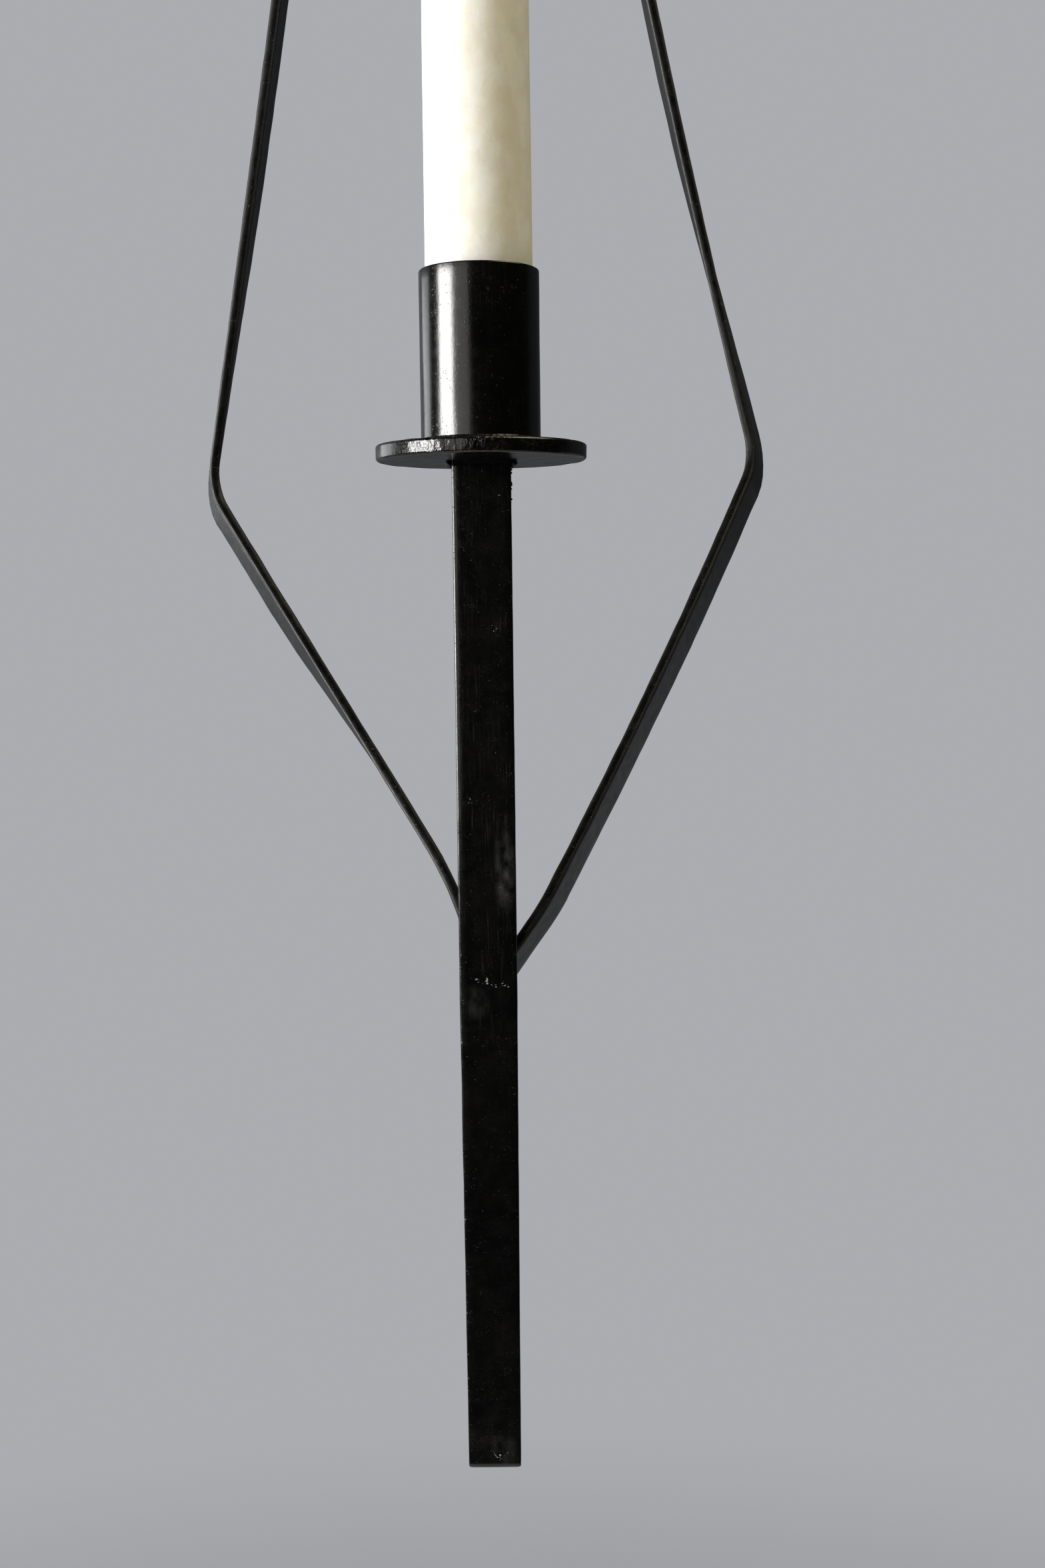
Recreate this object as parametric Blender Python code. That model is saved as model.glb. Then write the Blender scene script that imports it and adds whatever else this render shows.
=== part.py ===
"""Wall sconce candle holder: a kite-shaped flat-iron frame, a stem with a drip disc and a cup, and a candle.

Metres, +Z up. The wall is the plane y = 0, and the object stands out from it towards -Y.
The origin is on the wall, where the hook that carries the hanging ring leaves it.
Widths are measured from the stem's middle line and heights from the underside of the drip disc.
Every object is then placed so that the hook is at the origin.
"""

import math

import bmesh
import bpy
from mathutils import Matrix, Vector

GAP = 0.0003                    # left between pieces that touch

# Places of the main pieces
HOOK_TO_DISC = 0.370            # hook down to the disc's underside
STEM_STAND_OFF = 0.057          # wall to the middle of the stem, the disc and the cup

# Flat strips of the frame
STRIP_THICKNESS = 0.0022
STRIP_DEPTH = 0.010
STRIP_EDGE_RADIUS = 0.0004
APEX_X = -0.006                 # the hand-bent frame leans a little to the left
APEX_TAB = 0.010                # upright ends of the strips under the hanging ring
JOIN_CLEARANCE = 0.0005         # strip edges to the stem's back
TWIST_START = 0.76              # share of the upper arm's length above which the strip is square to the wall
FLARE_CHANGE = (0.25, 0.80)     # stretch of the lower arm over which its flare changes, as shares of its length
ARM_STEPS = 20
BEND_STEPS = 7
LOWER_ARM_STEPS = 8

# Each strip: side, inward bow of its upper arm, knee (x, height), outward bow of its lower arm, end of the
# lower arm's straight run (x, y, height), height where it reaches the other strip behind the stem, and its
# flare, which is how far its outer face turns to the front, above the knee, below it and at the lower end
STRIPS = {
    "left": {
        "side": -1,
        "bow": 0.0,
        "knee": (-0.0637, -0.0013),
        "lower_bow": 0.0,
        "lower_end": (-0.0061, -0.0550, -0.0893),
        "meet": -0.108,
        "arm_flare": math.radians(10.0),
        "knee_flare": math.radians(21.7),
        "end_flare": math.radians(6.8),
    },
    "right": {
        "side": 1,
        "bow": 0.004,
        "knee": (0.0614, 0.0033),
        "lower_bow": 0.001,
        "lower_end": (0.0122, -0.0520, -0.0920),
        "meet": -0.107,
        "arm_flare": math.radians(16.0),
        "knee_flare": math.radians(24.5),
        "end_flare": math.radians(23.0),
    },
}
JOIN_BOTTOM = -0.120             # lower ends of both strips
APEX_BEND_RADIUS = 0.012
KNEE_RADIUS = 0.015
LOWER_BEND_RADIUS = 0.045
MEET_BEND_RADIUS = 0.008

# Stem: flat bar, narrower towards its free lower end
STEM_WIDTH = 0.0121
STEM_TIP_WIDTH = 0.0112
STEM_THICKNESS = 0.003
STEM_EDGE_RADIUS = 0.0004
STEM_TAPER_START = -0.108
STEM_TIP = -0.214
STEM_TIP_CHAMFER = 0.0003

# Drip disc and cup
DISC_RADIUS = 0.0215
DISC_THICKNESS = 0.0032
DISC_EDGE_RADIUS = 0.0006
CUP_RADIUS = 0.0122
CUP_WALL = 0.00085
CUP_HEIGHT = 0.0344
CUP_LIP_RADIUS = 0.0003

# Candle and wick
CANDLE_RADIUS = 0.0110
CANDLE_TOP_RADIUS = 0.0103
CANDLE_LENGTH = 0.240
CANDLE_FOOT_CHAMFER = 0.0010
CANDLE_TIP_HEIGHT = 0.016
CANDLE_TIP_RADIUS = 0.0036
WICK_HOLE_RADIUS = 0.0013
WICK_HOLE_DEPTH = 0.006
WICK_RADIUS = 0.0009
WICK_ABOVE_TIP = 0.009

# Hanging ring
RING_WIRE = 0.003
RING_RADIUS = 0.0075            # to the middle of the wire
RING_SEGMENTS = 36
WIRE_SEGMENTS = 12

# Weld beads
BEAD_RIPPLE = 0.10
STEM_BEAD = 0.0012
STRIP_BEAD = 0.0020
STRIP_BEAD_LENGTH = 0.0096
APEX_BEAD = 0.0016
CUP_BEAD = 0.0008

ROUND_SEGMENTS = 56
SMOOTH_ANGLE = math.radians(40)

AXIS_Y = -STEM_STAND_OFF
STEM_BACK = AXIS_Y + STEM_THICKNESS / 2
CUP_FOOT = DISC_THICKNESS + GAP
RING_CENTRE_Z = HOOK_TO_DISC + RING_WIRE / 2 - RING_RADIUS
TABS_TOP = RING_CENTRE_Z - RING_RADIUS - RING_WIRE / 2 - GAP
RING_Y = -STRIP_DEPTH / 2
HOOK = Vector((APEX_X, 0, HOOK_TO_DISC))
CANDLE_SEAT = Vector((0, AXIS_Y, CUP_FOOT))
BLACK_PAINT = (0.012, 0.012, 0.013, 1.0)


def clear_scene():
    for obj in list(bpy.data.objects):
        bpy.data.objects.remove(obj)


def make_material(name, color, roughness, metallic=0.0):
    material = bpy.data.materials.new(name)
    material.use_nodes = True
    shader = material.node_tree.nodes["Principled BSDF"]
    shader.inputs["Base Color"].default_value = color
    shader.inputs["Roughness"].default_value = roughness
    shader.inputs["Metallic"].default_value = metallic
    return material


def make_object(name, bm, material, origin=(0, 0, 0)):
    """Closes a bmesh into a named object with smooth round faces and crisp edges."""
    bmesh.ops.recalc_face_normals(bm, faces=bm.faces)
    bmesh.ops.translate(bm, verts=bm.verts, vec=-Vector(origin))
    mesh = bpy.data.meshes.new(name)
    bm.to_mesh(mesh)
    bm.free()
    mesh.materials.append(material)
    mesh.shade_smooth()
    mesh.set_sharp_from_angle(angle=SMOOTH_ANGLE)
    obj = bpy.data.objects.new(name, mesh)
    obj.location = Vector(origin) - HOOK
    bpy.context.scene.collection.objects.link(obj)
    return obj


def loft(bm, rings, closed=False):
    """Joins rings of points with quads. An open loft gets a flat cap at each end."""
    loops = [[bm.verts.new(point) for point in ring] for ring in rings]
    pairs = list(zip(loops, loops[1:]))
    if closed:
        pairs.append((loops[-1], loops[0]))
    for lower, upper in pairs:
        count = len(lower)
        for i in range(count):
            j = (i + 1) % count
            bm.faces.new((lower[i], lower[j], upper[j], upper[i]))
    if not closed:
        bm.faces.new(list(reversed(loops[0])))
        bm.faces.new(loops[-1])


def rounded_rectangle(width, depth, radius, steps=2):
    """Points of a rectangle with round corners, centred on the origin, as (across, along) pairs."""
    points = []
    for index, (sx, sy) in enumerate(((1, 1), (-1, 1), (-1, -1), (1, -1))):
        centre = (sx * (width / 2 - radius), sy * (depth / 2 - radius))
        for step in range(steps + 1):
            angle = math.pi / 2 * (index + step / steps)
            points.append((centre[0] + radius * math.cos(angle), centre[1] + radius * math.sin(angle)))
    return points


def turned(bm, profile, centre_y, segments=ROUND_SEGMENTS):
    """Turns a closed (radius, z) profile about the upright axis at (0, centre_y)."""
    rings = []
    for i in range(segments):
        angle = 2 * math.pi * i / segments
        cos, sin = math.cos(angle), math.sin(angle)
        rings.append([Vector((r * cos, centre_y + r * sin, z)) for r, z in profile])
    loft(bm, rings, closed=True)


def turned_solid(bm, profile, centre_y, segments=ROUND_SEGMENTS):
    """Turns an open (radius, z) profile, from one flat end to the other, into a capped solid."""
    rings = []
    for r, z in profile:
        angles = [2 * math.pi * i / segments for i in range(segments)]
        rings.append([Vector((r * math.cos(a), centre_y + r * math.sin(a), z)) for a in angles])
    loft(bm, rings)


def quarter_arc(centre, radius, start, steps=3):
    """Points of a quarter circle in a profile, turning anticlockwise from the start angle."""
    angles = [start + math.pi / 2 * i / steps for i in range(steps + 1)]
    return [(centre[0] + radius * math.cos(a), centre[1] + radius * math.sin(a)) for a in angles]


def bend(before, corner, after, radius):
    """Points of the round bend of a given radius that replaces a corner of a path."""
    along = (corner - before).normalized()
    onward = (after - corner).normalized()
    angle = along.angle(onward)
    reach = radius * math.tan(angle / 2)
    axis = along.cross(onward).normalized()
    start = corner - along * reach
    centre = start + axis.cross(along) * radius
    spoke = start - centre
    turns = [angle * i / BEND_STEPS for i in range(BEND_STEPS + 1)]
    return [centre + Matrix.Rotation(turn, 3, axis) @ spoke for turn in turns]


def smooth_step(value):
    value = min(max(value, 0.0), 1.0)
    return value * value * (3 - 2 * value)


def strip_path(spec):
    """Front edge of one strip, from its apex tab to its lower tab, as (point, flare) pairs."""
    side = spec["side"]
    tab_offset = side * (STRIP_THICKNESS + GAP) / 2
    front = -STRIP_DEPTH
    join_y = STEM_BACK + JOIN_CLEARANCE
    top = Vector((APEX_X + tab_offset, front, TABS_TOP))
    apex = top - Vector((0, 0, APEX_TAB))
    knee_inset = STRIP_THICKNESS / 2 * math.sin(spec["arm_flare"])
    knee = Vector((spec["knee"][0], front - knee_inset, spec["knee"][1]))
    lower_end = Vector(spec["lower_end"])
    meet = Vector((tab_offset, join_y, spec["meet"]))
    bottom = Vector((tab_offset, join_y, JOIN_BOTTOM))

    arm = []
    for i in range(ARM_STEPS + 1):
        s = i / ARM_STEPS
        flare = spec["arm_flare"] * smooth_step((s - TWIST_START) / (1 - TWIST_START))
        point = apex.lerp(knee, s)
        point.x -= side * spec["bow"] * 4 * s * (1 - s)
        point.y = front - STRIP_THICKNESS / 2 * math.sin(flare)
        arm.append((point, flare))

    path = [(top, 0.0)]
    path += [(point, 0.0) for point in bend(top, apex, arm[1][0], APEX_BEND_RADIUS)]
    path += arm[1:-1]
    knee_bend = bend(arm[-2][0], knee, lower_end, KNEE_RADIUS)
    for i, point in enumerate(knee_bend):
        change = smooth_step(i / BEND_STEPS)
        path.append((point, spec["arm_flare"] + (spec["knee_flare"] - spec["arm_flare"]) * change))
    lower_bend = bend(knee, lower_end, meet, LOWER_BEND_RADIUS)
    for i in range(1, LOWER_ARM_STEPS):
        s = i / LOWER_ARM_STEPS
        change = smooth_step((s - FLARE_CHANGE[0]) / (FLARE_CHANGE[1] - FLARE_CHANGE[0]))
        flare = spec["knee_flare"] + (spec["end_flare"] - spec["knee_flare"]) * change
        point = knee_bend[-1].lerp(lower_bend[0], s)
        point.x += side * spec["lower_bow"] * 4 * s * (1 - s)
        path.append((point, flare))
    path += [(point, spec["end_flare"]) for point in lower_bend]
    for i, point in enumerate(bend(lower_end, meet, bottom, MEET_BEND_RADIUS)):
        path.append((point, spec["end_flare"] * (1 - smooth_step(i / BEND_STEPS))))
    path.append((bottom, 0.0))
    return path


def strip_section(point, tangent, flare, side):
    """Cross-section of a strip whose front edge passes through the point."""
    depth = (Vector((0, 1, 0)) - tangent * tangent.y).normalized()
    outward = depth.cross(tangent)
    if outward.x * side < 0:
        outward = -outward
    back = depth * math.cos(flare) + outward * math.sin(flare)
    across = outward * math.cos(flare) - depth * math.sin(flare)
    middle = point + back * STRIP_DEPTH / 2
    outline = rounded_rectangle(STRIP_THICKNESS, STRIP_DEPTH, STRIP_EDGE_RADIUS)
    return [middle + across * u + back * v for u, v in outline]


def build_strip(name, spec, material):
    path = strip_path(spec)
    points = [point for point, _ in path]
    rings = []
    for i, (point, flare) in enumerate(path):
        before = points[max(i - 1, 0)]
        after = points[min(i + 1, len(points) - 1)]
        tangent = (after - before).normalized()
        rings.append(strip_section(point, tangent, flare, spec["side"]))
    bm = bmesh.new()
    loft(bm, rings)
    return make_object(name, bm, material)


def build_stem(material):
    def ring(z, width, thickness):
        outline = rounded_rectangle(width, thickness, STEM_EDGE_RADIUS)
        return [Vector((x, AXIS_Y + y, z)) for x, y in outline]

    inset = 2 * STEM_TIP_CHAMFER
    rings = [
        ring(-GAP, STEM_WIDTH, STEM_THICKNESS),
        ring(STEM_TAPER_START, STEM_WIDTH, STEM_THICKNESS),
        ring(STEM_TIP + STEM_TIP_CHAMFER, STEM_TIP_WIDTH, STEM_THICKNESS),
        ring(STEM_TIP, STEM_TIP_WIDTH - inset, STEM_THICKNESS - inset),
    ]
    bm = bmesh.new()
    loft(bm, rings)
    return make_object("stem_bar", bm, material)


def build_disc(material):
    r, e = DISC_RADIUS, DISC_EDGE_RADIUS
    profile = [(r - 3 * e, 0.0)]
    profile += quarter_arc((r - e, e), e, -math.pi / 2)
    profile += quarter_arc((r - e, DISC_THICKNESS - e), e, 0.0)
    profile.append((r - 3 * e, DISC_THICKNESS))
    bm = bmesh.new()
    turned_solid(bm, profile, AXIS_Y)
    return make_object("drip_disc", bm, material)


def build_cup(material):
    outer, inner = CUP_RADIUS, CUP_RADIUS - CUP_WALL
    top = CUP_FOOT + CUP_HEIGHT
    lip = CUP_LIP_RADIUS
    profile = [(inner, CUP_FOOT), (outer, CUP_FOOT)]
    profile += quarter_arc((outer - lip, top - lip), lip, 0.0)
    profile += quarter_arc((inner + lip, top - lip), lip, math.pi / 2)
    bm = bmesh.new()
    turned(bm, profile, AXIS_Y)
    return make_object("candle_cup", bm, material)


def build_candle(material):
    foot = CUP_FOOT
    tip = foot + CANDLE_LENGTH
    shoulder = tip - CANDLE_TIP_HEIGHT
    profile = [
        (CANDLE_RADIUS - CANDLE_FOOT_CHAMFER, foot),
        (CANDLE_RADIUS, foot + CANDLE_FOOT_CHAMFER),
        (CANDLE_TOP_RADIUS, shoulder),
    ]
    fall = CANDLE_TOP_RADIUS - CANDLE_TIP_RADIUS
    for i in range(1, 7):
        s = i / 6
        profile.append((CANDLE_TOP_RADIUS - fall * s ** 1.6, shoulder + CANDLE_TIP_HEIGHT * s ** 0.9))
    profile.append((WICK_HOLE_RADIUS, tip))
    profile.append((WICK_HOLE_RADIUS, tip - WICK_HOLE_DEPTH))
    bm = bmesh.new()
    turned_solid(bm, profile, AXIS_Y)
    return make_object("candle", bm, material, CANDLE_SEAT)


def build_wick(material):
    """Upright inside the wax, then leaning a little to one side above it."""
    tip = CUP_FOOT + CANDLE_LENGTH
    foot = tip - WICK_HOLE_DEPTH + GAP
    length = WICK_ABOVE_TIP + tip - foot
    rings = []
    for i in range(9):
        s = i / 8
        lean = 0.0012 * smooth_step((s - 0.5) / 0.5)
        radius = WICK_RADIUS * (1.0 if i < 8 else 0.6)
        angles = [2 * math.pi * k / 10 for k in range(10)]
        centre = Vector((lean, AXIS_Y, foot + length * s))
        rings.append([centre + Vector((radius * math.cos(a), radius * math.sin(a), 0)) for a in angles])
    bm = bmesh.new()
    loft(bm, rings)
    return make_object("wick", bm, material, CANDLE_SEAT)


def build_ring(material):
    """Wire ring in the upright plane of the frame, carried by the wall hook at its inner top."""
    centre = Vector((APEX_X, RING_Y, RING_CENTRE_Z))
    rings = []
    for i in range(RING_SEGMENTS):
        angle = 2 * math.pi * i / RING_SEGMENTS
        outward = Vector((math.cos(angle), 0, math.sin(angle)))
        middle = centre + outward * RING_RADIUS
        turns = [2 * math.pi * k / WIRE_SEGMENTS for k in range(WIRE_SEGMENTS)]
        wire = RING_WIRE / 2
        rings.append([middle + outward * wire * math.cos(t) + Vector((0, wire * math.sin(t), 0)) for t in turns])
    bm = bmesh.new()
    loft(bm, rings, closed=True)
    return make_object("hanging_ring", bm, material)


def bead(bm, path, first_leg, second_leg, size):
    """Fillet bead along a path that lies in the corner between two surfaces.

    Each leg is a function from the place along the path to the direction out of one surface's corner.
    """
    rings = []
    last = len(path) - 1
    for i, point in enumerate(path):
        s = i / last
        ends = 0.35 + 0.65 * math.sin(math.pi * min(max(s, 0.02), 0.98)) ** 0.35
        leg = size * ends * (1 + BEAD_RIPPLE * math.sin(2.4 * i))
        u, v = first_leg(s), second_leg(s)
        rings.append([
            point,
            point + u * leg,
            point + (u * 0.72 + v * 0.40) * leg,
            point + (u * 0.40 + v * 0.72) * leg,
            point + v * leg,
        ])
    loft(bm, rings)


def straight(start, end, steps):
    return [start.lerp(end, i / steps) for i in range(steps + 1)]


def build_stem_weld(material):
    """Horseshoe bead under the disc, from one side of the stem round its back to the other side."""
    half = STEM_WIDTH / 2 + GAP
    back = STEM_BACK + GAP
    z = -GAP
    corner = 0.0008
    front = AXIS_Y - STEM_THICKNESS / 4
    spots = [Vector((half, front, z)), Vector((half, back - corner, z))]
    directions = [Vector((1, 0, 0)), Vector((1, 0, 0))]
    for i in range(1, 5):
        angle = math.pi / 2 * i / 4
        spots.append(Vector((half - corner + corner * math.cos(angle), back - corner + corner * math.sin(angle), z)))
        directions.append(Vector((math.cos(angle), math.sin(angle), 0)))
    middle = straight(spots[-1], Vector((-spots[-1].x, back, z)), 12)[1:-1]
    mirrored = [Vector((-p.x, p.y, p.z)) for p in reversed(spots)]
    mirrored_directions = [Vector((-d.x, d.y, d.z)) for d in reversed(directions)]
    path = spots + middle + mirrored
    outward = directions + [Vector((0, 1, 0))] * len(middle) + mirrored_directions
    last = len(path) - 1
    bm = bmesh.new()
    bead(bm, path, lambda s: outward[round(s * last)], lambda s: Vector((0, 0, -1)), STEM_BEAD)
    return make_object("stem_weld", bm, material)


def build_strip_weld(name, side, material):
    """Upright bead between the stem's back and the outer face of one strip's lower tab."""
    x = side * (STRIP_THICKNESS + GAP / 2 + GAP)
    y = STEM_BACK + GAP
    top = Vector((x, y, JOIN_BOTTOM + STRIP_BEAD_LENGTH))
    bottom = Vector((x, y, JOIN_BOTTOM))
    bm = bmesh.new()
    bead(bm, straight(top, bottom, 14), lambda s: Vector((side, 0, 0)), lambda s: Vector((0, 1, 0)), STRIP_BEAD)
    return make_object(name, bm, material)


def build_apex_weld(name, facing, material):
    """Bead across the strips' upper ends, in front of (-1) or behind (1) the hanging ring."""
    reach = STRIP_THICKNESS + GAP / 2
    y = RING_Y + facing * (RING_WIRE / 2 + GAP)
    z = TABS_TOP + GAP
    start = Vector((APEX_X - reach, y, z))
    end = Vector((APEX_X + reach, y, z))
    bm = bmesh.new()
    bead(bm, straight(start, end, 10), lambda s: Vector((0, facing, 0)), lambda s: Vector((0, 0, 1)), APEX_BEAD)
    return make_object(name, bm, material)


def build_cup_weld(material):
    """Small fillet ring around the cup's foot."""
    inner = CUP_RADIUS + GAP
    foot = CUP_FOOT
    profile = [
        (inner, foot),
        (inner + CUP_BEAD, foot),
        (inner + CUP_BEAD * 0.40, foot + CUP_BEAD * 0.40),
        (inner, foot + CUP_BEAD),
    ]
    bm = bmesh.new()
    turned(bm, profile, AXIS_Y)
    return make_object("cup_weld", bm, material)


def main():
    clear_scene()
    strip_paint = make_material("strip_paint", BLACK_PAINT, 0.38)
    stem_paint = make_material("stem_paint", BLACK_PAINT, 0.34)
    cup_paint = make_material("cup_paint", BLACK_PAINT, 0.28)
    weld_paint = make_material("weld_paint", BLACK_PAINT, 0.45)
    wax = make_material("ivory_wax", (0.82, 0.78, 0.62, 1.0), 0.45)
    cotton = make_material("wick_cotton", (0.78, 0.74, 0.64, 1.0), 0.90)

    for side, spec in STRIPS.items():
        build_strip(f"{side}_frame_strip", spec, strip_paint.copy())
        build_strip_weld(f"{side}_strip_weld", spec["side"], weld_paint.copy())
    build_stem(stem_paint)
    build_stem_weld(weld_paint.copy())
    build_disc(cup_paint.copy())
    build_cup(cup_paint)
    build_cup_weld(weld_paint.copy())
    build_candle(wax)
    build_wick(cotton)
    build_ring(strip_paint)
    build_apex_weld("front_apex_weld", -1, weld_paint)
    build_apex_weld("back_apex_weld", 1, weld_paint.copy())


main()
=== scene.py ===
"""Looks of a black flat-iron wall sconce with an ivory dinner candle.

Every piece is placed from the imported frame, in metres. The origin is on the wall at the hook,
+Z is up, +Y goes into the wall and +X is to the right of someone who faces the wall.
"""

import math
import random

import bmesh
import bpy
from mathutils import Matrix, Vector, noise


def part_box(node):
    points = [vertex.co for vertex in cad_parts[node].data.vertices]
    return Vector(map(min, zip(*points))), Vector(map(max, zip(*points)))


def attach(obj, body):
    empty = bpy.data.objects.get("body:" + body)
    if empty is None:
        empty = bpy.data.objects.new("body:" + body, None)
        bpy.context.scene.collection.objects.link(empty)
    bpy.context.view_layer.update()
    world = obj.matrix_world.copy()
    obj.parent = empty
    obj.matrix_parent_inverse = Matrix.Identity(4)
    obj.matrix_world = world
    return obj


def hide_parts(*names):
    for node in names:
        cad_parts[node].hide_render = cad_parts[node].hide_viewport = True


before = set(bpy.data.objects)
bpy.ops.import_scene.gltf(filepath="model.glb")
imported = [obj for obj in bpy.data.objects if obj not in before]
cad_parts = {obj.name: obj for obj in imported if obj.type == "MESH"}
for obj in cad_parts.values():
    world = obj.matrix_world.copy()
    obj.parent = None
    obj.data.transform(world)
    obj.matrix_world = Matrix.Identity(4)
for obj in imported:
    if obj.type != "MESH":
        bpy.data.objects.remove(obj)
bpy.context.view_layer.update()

MM = 0.001

# Meshes
SMOOTH_ANGLE = math.radians(50)
SAME_POINT = 0.002 * MM
FLAT_PAIR = math.radians(12)     # triangles that bend less than this over their shared side may join
SQUARE_PAIR = math.radians(80)   # and the quad that they make may be this far from square

# Camera: 0.37 m in front of the disc's foot and 30 mm below it, looking a little down
CAMERA_FROM_DISC = Vector((0.01078, -0.36977, -0.02983))
CAMERA_YAW = math.radians(0.488)
CAMERA_PITCH = math.radians(5.640)
CAMERA_ROLL = math.radians(-0.683)
CAMERA_LENS_MM = 41.04
CAMERA_NEAR = 0.01

# Surface detail of the ironwork
STRIP_SPACING = 1.2 * MM
STEM_SPACING = 1.5 * MM
WELD_SPACING = 0.35 * MM
STRIP_UNEVEN = 0.07 * MM
STEM_UNEVEN = 0.05 * MM
DISC_UNEVEN = 0.06 * MM
CUP_UNEVEN = 0.025 * MM
RING_UNEVEN = 0.03 * MM
WELD_UNEVEN = 0.16 * MM
WELD_SPREAD = 0.32 * MM          # a bead's metal runs this far into both pieces that it joins
CUP_WELD_SHARE = 0.5             # the bead at the cup's foot is this much finer than the others
STEM_INTO_DISC = 0.1 * MM
CHIPS_ABOVE_WELD = 3.2 * MM      # the line of chips across the stem's front, above the left strip's weld
CUP_INTO_DISC = 0.05 * MM
OUTER_EDGE = math.radians(30)    # a bend this sharp counts as a full edge
TURNED_EDGE = math.radians(14)   # the same on a rounded edge that many facets share

# Turned pieces
SEGMENTS = 96
POLE_RADIUS = 0.05 * MM          # innermost ring of a turned end
DISC_EDGE = 0.6 * MM
DISC_RING_SPACING = 1.6 * MM
CUP_WALL = 0.85 * MM
CUP_LIP = 0.3 * MM
CUP_RING_SPACING = 2 * MM

# Hanging ring
WIRE_SIDES = 20
RING_SEAM = (0.07, 0.12)         # swell of the closed joint, and its half width in radians

# Candle and wick
CANDLE_FOOT_CHAMFER = 1.0 * MM
CANDLE_TIP_HEIGHT = 16 * MM
CANDLE_TIP_STEPS = 18
CANDLE_TAPER = 0.7 * MM          # lower radius less upper radius
CANDLE_TIP_RADIUS = 3.4 * MM
CANDLE_FOOT_SPACING = 2 * MM
CANDLE_RING_SPACING = 1.6 * MM
CANDLE_LUMP = 0.06 * MM
CANDLE_LUMP_WIDTH = 7 * MM
CANDLE_LUMP_HEIGHT = 22 * MM
WICK_STRANDS = 3
WICK_STRAND = 0.52 * MM
WICK_PITCH = 4.5 * MM
WICK_STEPS = 60
WICK_SIDES = 12
WICK_LEAN = 1.0 * MM
WICK_ROOT_OFFSET = 0.6 * MM      # root to the left of the wick's middle, where the lean starts

# Lacquer, from the sound coat to what its damage lays bare
COAT_BLACK = (0.0010, 0.0010, 0.0011)
FADED_BLACK = (0.0023, 0.0022, 0.0021)
STREAK_GREY = (0.024, 0.0235, 0.023)
WORN_GREY = (0.042, 0.042, 0.043)
DUST_GREY = (0.045, 0.043, 0.040)
PRIMER_GREY = (0.25, 0.255, 0.27)
# bare iron's grey also paints a highlight along the stem's left edge
BARE_IRON_AND_HIGHLIGHT = (0.30, 0.29, 0.275)
RUST_BROWN = (0.070, 0.030, 0.014)

# Wax and cotton
IVORY_WAX = (0.88, 0.86, 0.775)
PALE_WAX = (0.93, 0.92, 0.865)
DEEP_WAX = (0.77, 0.73, 0.58)
COTTON_SHADE = (0.62, 0.57, 0.45)
COTTON_LIGHT = (0.88, 0.85, 0.76)

# Background: what the camera sees, and the wall and room that light and reflections get
WALL_GREY = (0.405, 0.415, 0.440)
WALL_BY_WINDOW = (0.22, 0.225, 0.235)
WALL_IN_SHADE = (0.040, 0.042, 0.046)
WALL_BELOW = (0.180, 0.185, 0.195)
ROOM_GREY = (0.012, 0.012, 0.011)
WINDOW_TO_SHADE = (-0.42, -0.06)     # along a direction's X, where the first gives way to the second
BELOW_TO_WALL = (-0.30, -0.04)       # the same along its Z
ROOM_TO_WALL = (0.18, 0.42)          # and along its Y

# Floor
FLOOR_DROP = 1.15                # floor below the stem's tip
FLOOR_RADIUS = 2.6
FLOOR_FADE = (0.9, 2.5)          # the floor melts into the background between these radii
FLOOR_SHADE = (0.76, 0.765, 0.775)
FLOOR_LIGHT = (0.81, 0.815, 0.82)
FLOOR_CLOUD = 0.4
FLOOR_GRAIN = 0.2

# Soft boxes that face the disc: bearing in degrees to the left of straight in front, distance,
# height above the disc, width and height of the box, watts and colour
LIGHTS = {
    "window": (66.0, 1.6, 0.10, (0.86, 0.75), 46.0, (1.0, 0.985, 0.965)),
    "lit_corner": (124, 1.2, 0.0, (0.60, 0.5), 2.2, (0.96, 0.98, 1.0)),
    "room_fill": (33, 2.2, 0.25, (1.1, 1.2), 4.8, (1.0, 0.965, 0.92)),
    "side_fill": (-70, 1.0, 1.3, (1.2, 1.0), 14.5, (1.0, 0.90, 0.64)),
}


# ---------------------------------------------------------------- meshes

def finished(bm, name, body, replaced, material):
    """Closes a bmesh into a smooth object that rides on a body and stands for its CAD nodes."""
    bmesh.ops.recalc_face_normals(bm, faces=bm.faces)
    mesh = bpy.data.meshes.new(name)
    bm.to_mesh(mesh)
    bm.free()
    mesh.materials.append(material)
    mesh.shade_smooth()
    mesh.set_sharp_from_angle(angle=SMOOTH_ANGLE)
    piece = bpy.data.objects.new(name, mesh)
    bpy.context.scene.collection.objects.link(piece)
    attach(piece, body)
    if replaced:
        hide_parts(*replaced)
    return piece


def loft(bm, rings, closed=False):
    """Joins rings of points with quads. An open loft gets a flat cap at each end."""
    loops = [[bm.verts.new(point) for point in ring] for ring in rings]
    pairs = list(zip(loops, loops[1:]))
    if closed:
        pairs.append((loops[-1], loops[0]))
    for lower, upper in pairs:
        count = len(lower)
        for i in range(count):
            j = (i + 1) % count
            bm.faces.new((lower[i], lower[j], upper[j], upper[i]))
    if not closed:
        bm.faces.new(list(reversed(loops[0])))
        bm.faces.new(loops[-1])


def turned(bm, profile, centre, closed):
    """Turns (radius, height) points about the upright line through centre."""
    rings = []
    for radius, height in profile:
        angles = [2 * math.pi * k / SEGMENTS for k in range(SEGMENTS)]
        rings.append([
            Vector((centre.x + radius * math.cos(a), centre.y + radius * math.sin(a), height))
            for a in angles
        ])
    loft(bm, rings, closed)


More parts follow.
